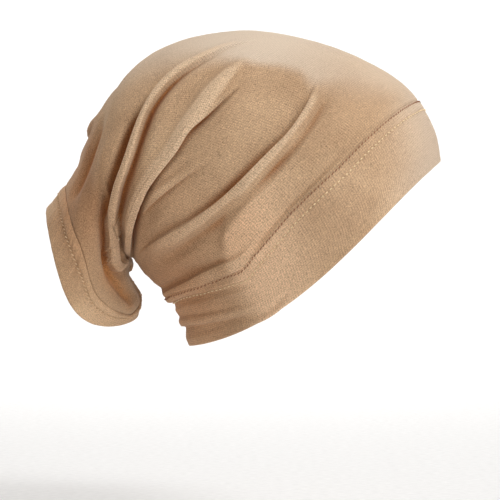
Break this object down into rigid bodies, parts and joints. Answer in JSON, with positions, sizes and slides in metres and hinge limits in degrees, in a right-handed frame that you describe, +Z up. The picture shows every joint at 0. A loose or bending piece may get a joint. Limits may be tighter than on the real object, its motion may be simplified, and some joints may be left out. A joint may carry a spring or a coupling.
{
  "type": "jersey tube turban cap",
  "caption": "Slip-on jersey turban cap: a soft gathered tube with a wide band round the face and an open hemmed tail behind.",
  "frame": {"origin": "inside of the crown at its highest point, where the head carries the cap", "axes": "+X where the face looks, +Y the wearer's left, +Z up"},
  "size_m": [0.26, 0.161, 0.207],
  "materials": {
    "jersey": "matte",
    "band": "matte",
    "hem": "matte"
  },
  "bodies": {
    "root": {"crown": "jersey", "front_band": "band", "tail_hem": "hem"}
  },
  "joints": []
}
